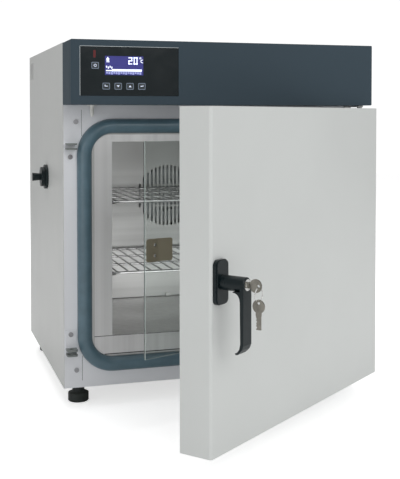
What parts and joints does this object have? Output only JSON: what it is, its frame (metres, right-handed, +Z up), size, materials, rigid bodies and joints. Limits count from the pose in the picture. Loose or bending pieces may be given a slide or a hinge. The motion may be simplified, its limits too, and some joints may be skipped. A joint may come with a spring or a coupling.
{
  "type": "laboratory incubator",
  "caption": "Bench-top laboratory incubator with a control hood, an insulated outer door with a locking lever, an inner glass door, wire shelves and levelling feet.",
  "frame": {"origin": "on the bench, centred between the feet under the cabinet", "axes": "+X to the right seen from the front, +Y to the back, +Z up"},
  "size_m": [0.6375, 0.9978, 0.685],
  "materials": {
    "left_side_panel": "semi-gloss powder coat, light grey",
    "right_side_panel": "semi-gloss powder coat, light grey",
    "top_panel": "semi-gloss powder coat, light grey",
    "rear_panel": "semi-gloss powder coat, light grey",
    "base_pan": "powder coat, light grey",
    "front_frame": "powder coat, light grey",
    "casing_screws": "zinc plated",
    "chamber_liner": "brushed stainless steel",
    "opening_trim": "brushed stainless steel",
    "rear_baffle": "brushed stainless steel",
    "insulation": "mineral wool",
    "shelf_runners": "brushed stainless steel",
    "temperature_probe": "stainless steel sheath",
    "fan_motor": "dark enamel and bright shaft",
    "heater_ring": "heat-tinted steel tube",
    "door_seal": "blue-grey silicone",
    "electronics_tray": "galvanised sheet",
    "power_supply": "plain aluminium case",
    "mains_inlet": "black plastic with metal contacts",
    "hood_body": "satin powder coat, slate",
    "hood_front": "satin powder coat, slate",
    "control_panel": "glossy dark plastic",
    "display": "lit blue display",
    "alarm_lamp": "red lens",
    "control_board": "green circuit board",
    "latch_keepers": "zinc plated steel",
    "door_hinges": "zinc plated steel",
    "door_sensor": "white plastic",
    "port_sleeve": "black plastic",
    "foot_bushes": "zinc plated steel",
    "glass_brackets": "satin chrome",
    "fan_wheel": "bright aluminium",
    "port_plug": "black rubber",
    "front_left_foot": "black rubber pad",
    "front_right_foot": "black rubber pad",
    "back_left_foot": "black rubber pad",
    "back_right_foot": "black rubber pad",
    "power_key": "dark plastic key",
    "back_key": "dark plastic key",
    "down_key": "dark plastic key",
    "up_key": "dark plastic key",
    "menu_key": "dark plastic key",
    "upper_shelf": "electropolished steel wire",
    "lower_shelf": "electropolished steel wire",
    "door_shell": "semi-gloss powder coat, light grey",
    "door_liner": "brushed stainless steel",
    "door_insulation": "mineral wool",
    "hinge_bushes": "white nylon",
    "handle_base": "black grained plastic",
    "handle_lever": "black grained plastic",
    "latch_rod": "zinc plated steel",
    "upper_hook": "zinc plated steel",
    "lower_hook": "zinc plated steel",
    "lock_cylinder": "chromed lock face",
    "cylinder_key": "nickel plated key",
    "key_ring": "nickel plated wire",
    "spare_key": "nickel plated key",
    "glass_pane": "clear tempered glass",
    "glass_hinges": "satin chrome",
    "glass_catch": "bronze coloured plate"
  },
  "bodies": {
    "cabinet": {"left_side_panel": "left_side_panel", "right_side_panel": "right_side_panel", "top_panel": "top_panel", "rear_panel": "rear_panel", "base_pan": "base_pan", "front_frame": "front_frame", "casing_screws": "casing_screws", "chamber_liner": "chamber_liner", "opening_trim": "opening_trim", "rear_baffle": "rear_baffle", "insulation": "insulation", "shelf_runners": "shelf_runners", "temperature_probe": "temperature_probe", "fan_motor": "fan_motor", "heater_ring": "heater_ring", "door_seal": "door_seal", "electronics_tray": "electronics_tray", "power_supply": "power_supply", "mains_inlet": "mains_inlet", "hood_body": "hood_body", "hood_front": "hood_front", "control_panel": "control_panel", "display": "display", "alarm_lamp": "alarm_lamp", "control_board": "control_board", "latch_keepers": "latch_keepers", "door_hinges": "door_hinges", "door_sensor": "door_sensor", "port_sleeve": "port_sleeve", "foot_bushes": "foot_bushes", "glass_brackets": "glass_brackets"},
    "fan": {"fan_wheel": "fan_wheel"},
    "plug": {"port_plug": "port_plug"},
    "front_left_foot": {"front_left_foot": "front_left_foot"},
    "front_right_foot": {"front_right_foot": "front_right_foot"},
    "back_left_foot": {"back_left_foot": "back_left_foot"},
    "back_right_foot": {"back_right_foot": "back_right_foot"},
    "power_key": {"power_key": "power_key"},
    "back_key": {"back_key": "back_key"},
    "down_key": {"down_key": "down_key"},
    "up_key": {"up_key": "up_key"},
    "menu_key": {"menu_key": "menu_key"},
    "upper_shelf": {"upper_shelf": "upper_shelf"},
    "lower_shelf": {"lower_shelf": "lower_shelf"},
    "outer_door": {"door_shell": "door_shell", "door_liner": "door_liner", "door_insulation": "door_insulation", "hinge_bushes": "hinge_bushes", "handle_base": "handle_base"},
    "handle": {"handle_lever": "handle_lever"},
    "latch": {"latch_rod": "latch_rod"},
    "upper_hook": {"upper_hook": "upper_hook"},
    "lower_hook": {"lower_hook": "lower_hook"},
    "lock": {"lock_cylinder": "lock_cylinder", "cylinder_key": "cylinder_key"},
    "ring": {"key_ring": "key_ring"},
    "spare_key": {"spare_key": "spare_key"},
    "inner_door": {"glass_pane": "glass_pane", "glass_hinges": "glass_hinges", "glass_catch": "glass_catch"}
  },
  "joints": [
    {"name": "outer_door_swing", "type": "hinge", "parent": "cabinet", "child": "outer_door", "pos_m": [0.286, -0.306, 0.302], "axis": [0, 0, 1], "range_deg": [-38.5, 141.5]},
    {"name": "inner_door_swing", "type": "hinge", "parent": "cabinet", "child": "inner_door", "pos_m": [0.222, -0.258, 0.316], "axis": [0, 0, 1], "range_deg": [-23, 84.6]},
    {"name": "handle_turn", "type": "hinge", "parent": "outer_door", "child": "handle", "pos_m": [-0.11982, -0.6978, 0.3035], "axis": [0.6225, -0.7826, 0], "range_deg": [0, 90]},
    {"name": "latch_slide", "type": "slide", "parent": "outer_door", "child": "latch", "axis": [0, 0, -1], "range_m": [0, 0.01275]},
    {"name": "upper_hook_swing", "type": "hinge", "parent": "outer_door", "child": "upper_hook", "pos_m": [-0.16215, -0.65481, 0.4795], "axis": [0.7826, 0.6225, 0], "range_deg": [0, 90]},
    {"name": "lower_hook_swing", "type": "hinge", "parent": "outer_door", "child": "lower_hook", "pos_m": [-0.16215, -0.65481, 0.0955], "axis": [0.7826, 0.6225, 0], "range_deg": [0, 90]},
    {"name": "lock_turn", "type": "hinge", "parent": "handle", "child": "lock", "pos_m": [-0.10737, -0.71345, 0.3035], "axis": [0.6225, -0.7826, 0], "range_deg": [0, 90]},
    {"name": "ring_swing", "type": "hinge", "parent": "lock", "child": "ring", "pos_m": [-0.08919, -0.73631, 0.3035], "axis": [-0.7826, -0.6225, 0], "range_deg": [-8, 45]},
    {"name": "spare_key_swing", "type": "hinge", "parent": "ring", "child": "spare_key", "pos_m": [-0.08919, -0.73631, 0.2792], "axis": [-0.7826, -0.6225, 0], "range_deg": [-5, 30]},
    {"name": "fan_spin", "type": "hinge", "parent": "cabinet", "child": "fan", "pos_m": [0, 0.128, 0.36568], "axis": [0, 1, 0], "continuous": true},
    {"name": "plug_pull", "type": "slide", "parent": "cabinet", "child": "plug", "axis": [-1, 0, 0], "range_m": [0, 0.07]},
    {"name": "upper_shelf_slide", "type": "slide", "parent": "cabinet", "child": "upper_shelf", "axis": [0, -1, 0], "range_m": [0, 0.02]},
    {"name": "lower_shelf_slide", "type": "slide", "parent": "cabinet", "child": "lower_shelf", "axis": [0, -1, 0], "range_m": [0, 0.02]},
    {"name": "power_key_press", "type": "slide", "parent": "cabinet", "child": "power_key", "axis": [0, 1, 0], "range_m": [0, 0.0008], "stiffness_N_per_m": 400, "springref_m": -0.0005},
    {"name": "back_key_press", "type": "slide", "parent": "cabinet", "child": "back_key", "axis": [0, 1, 0], "range_m": [0, 0.0008], "stiffness_N_per_m": 400, "springref_m": -0.0005},
    {"name": "down_key_press", "type": "slide", "parent": "cabinet", "child": "down_key", "axis": [0, 1, 0], "range_m": [0, 0.0008], "stiffness_N_per_m": 400, "springref_m": -0.0005},
    {"name": "up_key_press", "type": "slide", "parent": "cabinet", "child": "up_key", "axis": [0, 1, 0], "range_m": [0, 0.0008], "stiffness_N_per_m": 400, "springref_m": -0.0005},
    {"name": "menu_key_press", "type": "slide", "parent": "cabinet", "child": "menu_key", "axis": [0, 1, 0], "range_m": [0, 0.0008], "stiffness_N_per_m": 400, "springref_m": -0.0005},
    {"name": "front_left_foot_screw", "type": "slide", "parent": "cabinet", "child": "front_left_foot", "axis": [0, 0, -1], "range_m": [0, 0.01]},
    {"name": "front_right_foot_screw", "type": "slide", "parent": "cabinet", "child": "front_right_foot", "axis": [0, 0, -1], "range_m": [0, 0.01]},
    {"name": "back_left_foot_screw", "type": "slide", "parent": "cabinet", "child": "back_left_foot", "axis": [0, 0, -1], "range_m": [0, 0.01]},
    {"name": "back_right_foot_screw", "type": "slide", "parent": "cabinet", "child": "back_right_foot", "axis": [0, 0, -1], "range_m": [0, 0.01]}
  ],
  "couplings": [
    {"joint": "inner_door_swing", "follows": "outer_door_swing", "ratio": 0.5974},
    {"joint": "latch_slide", "follows": "handle_turn", "m_per_rad": 0.008104},
    {"joint": "upper_hook_swing", "follows": "handle_turn", "ratio": 1},
    {"joint": "lower_hook_swing", "follows": "handle_turn", "ratio": 1}
  ]
}
